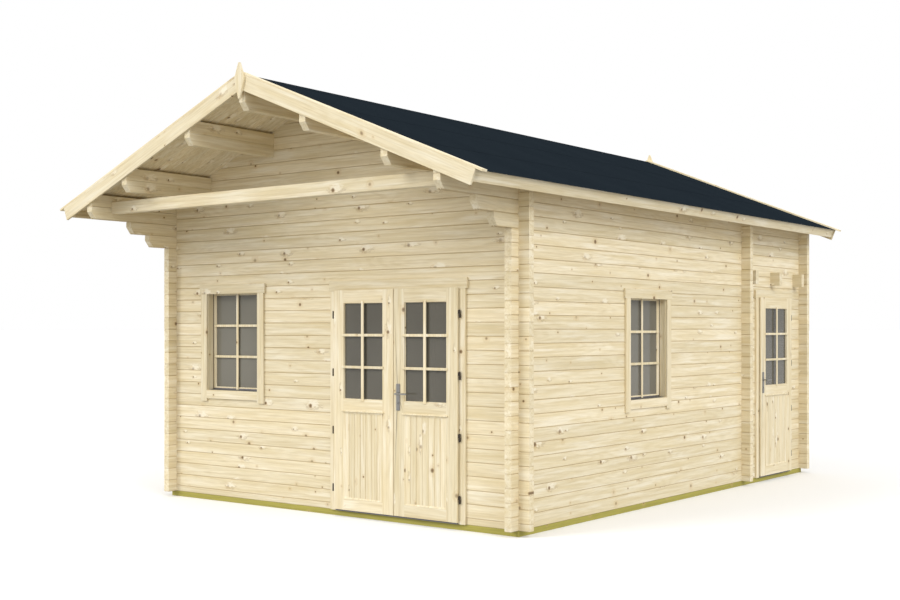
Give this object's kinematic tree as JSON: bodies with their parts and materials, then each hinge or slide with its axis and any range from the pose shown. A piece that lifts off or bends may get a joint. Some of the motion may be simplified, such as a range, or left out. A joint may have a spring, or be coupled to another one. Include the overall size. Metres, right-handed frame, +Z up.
{
  "type": "log cabin",
  "caption": "Garden log cabin of notched machined logs with a purlin roof, deep front overhang, glazed double door, side door and cross-barred windows.",
  "frame": {"origin": "ground level at the middle of the part's outer box in plan", "axes": "+X towards the wall with the side door, +Y from the front gable to the rear, +Z up"},
  "size_m": [4.9942, 7.0918, 3.8865],
  "materials": {
    "spruce_log": "planed, untreated",
    "spruce_beam": "planed, untreated",
    "spruce_board": "planed, untreated",
    "treated_timber": "pressure treated, sawn",
    "roofing_felt": "mineral felt, matt",
    "clear_glass": "clear",
    "hinge_steel": "dark, satin",
    "handle_steel": "brushed",
    "threshold_metal": "mill, matt"
  },
  "bodies": {
    "cabin": {"foundation_bearers": "treated_timber", "floor_joists": "treated_timber", "floor_boards": "spruce_board", "front_wall_left": "spruce_log", "front_wall_right": "spruce_log", "front_wall_over_door": "spruce_log", "front_gable": "spruce_log", "left_wall": "spruce_log", "right_wall_front": "spruce_log", "right_wall_rear": "spruce_log", "right_wall_over_door": "spruce_log", "rear_wall": "spruce_log", "rear_gable": "spruce_log", "partition_wall": "spruce_log", "wall_plates": "spruce_log", "ridge_purlin": "spruce_beam", "purlins": "spruce_beam", "tie_beam": "spruce_log", "loft_joists": "spruce_beam", "roof_boards_left": "spruce_board", "roof_boards_right": "spruce_board", "roofing_left": "roofing_felt", "roofing_right": "roofing_felt", "front_bargeboards": "spruce_board", "rear_bargeboards": "spruce_board", "cover_strips": "spruce_board", "finials": "spruce_board", "eave_fascias": "spruce_board", "double_door_frame": "spruce_board", "double_door_casing": "spruce_board", "double_door_threshold": "threshold_metal", "side_door_frame": "spruce_board", "side_door_casing": "spruce_board", "side_door_threshold": "threshold_metal", "hinge_pins": "hinge_steel", "window_frames": "spruce_board", "window_sashes": "spruce_board", "window_glass": "clear_glass", "window_casings": "spruce_board"},
    "left_door": {"left_leaf": "spruce_board", "left_leaf_glass": "clear_glass", "left_leaf_hinges": "hinge_steel"},
    "right_door": {"right_leaf": "spruce_board", "right_leaf_glass": "clear_glass", "right_leaf_hinges": "hinge_steel", "double_door_handle_plates": "handle_steel"},
    "side_door": {"side_leaf": "spruce_board", "side_leaf_glass": "clear_glass", "side_leaf_hinges": "hinge_steel", "side_door_handle_plates": "handle_steel"},
    "front_lever": {"double_door_lever": "handle_steel"},
    "side_lever": {"side_door_lever": "handle_steel"}
  },
  "joints": [
    {"name": "left_door_swing", "type": "hinge", "parent": "cabin", "child": "left_door", "pos_m": [0.121, -2.5227, 1], "axis": [0, 0, -1], "range_deg": [0, 110]},
    {"name": "right_door_swing", "type": "hinge", "parent": "cabin", "child": "right_door", "pos_m": [1.535, -2.5227, 1], "axis": [0, 0, 1], "range_deg": [0, 110]},
    {"name": "side_door_swing", "type": "hinge", "parent": "cabin", "child": "side_door", "pos_m": [2.1332, 2.9395, 1], "axis": [0, 0, 1], "range_deg": [0, 110]},
    {"name": "front_lever_turn", "type": "hinge", "parent": "right_door", "child": "front_lever", "pos_m": [0.8855, -2.5107, 1.11], "axis": [0, 1, 0], "range_deg": [0, 45], "stiffness_Nm_per_rad": 1.5, "springref_deg": -20.05},
    {"name": "side_lever_turn", "type": "hinge", "parent": "side_door", "child": "side_lever", "pos_m": [2.1212, 2.1415, 1.11], "axis": [-1, 0, 0], "range_deg": [0, 45], "stiffness_Nm_per_rad": 1.5, "springref_deg": -20.05}
  ]
}
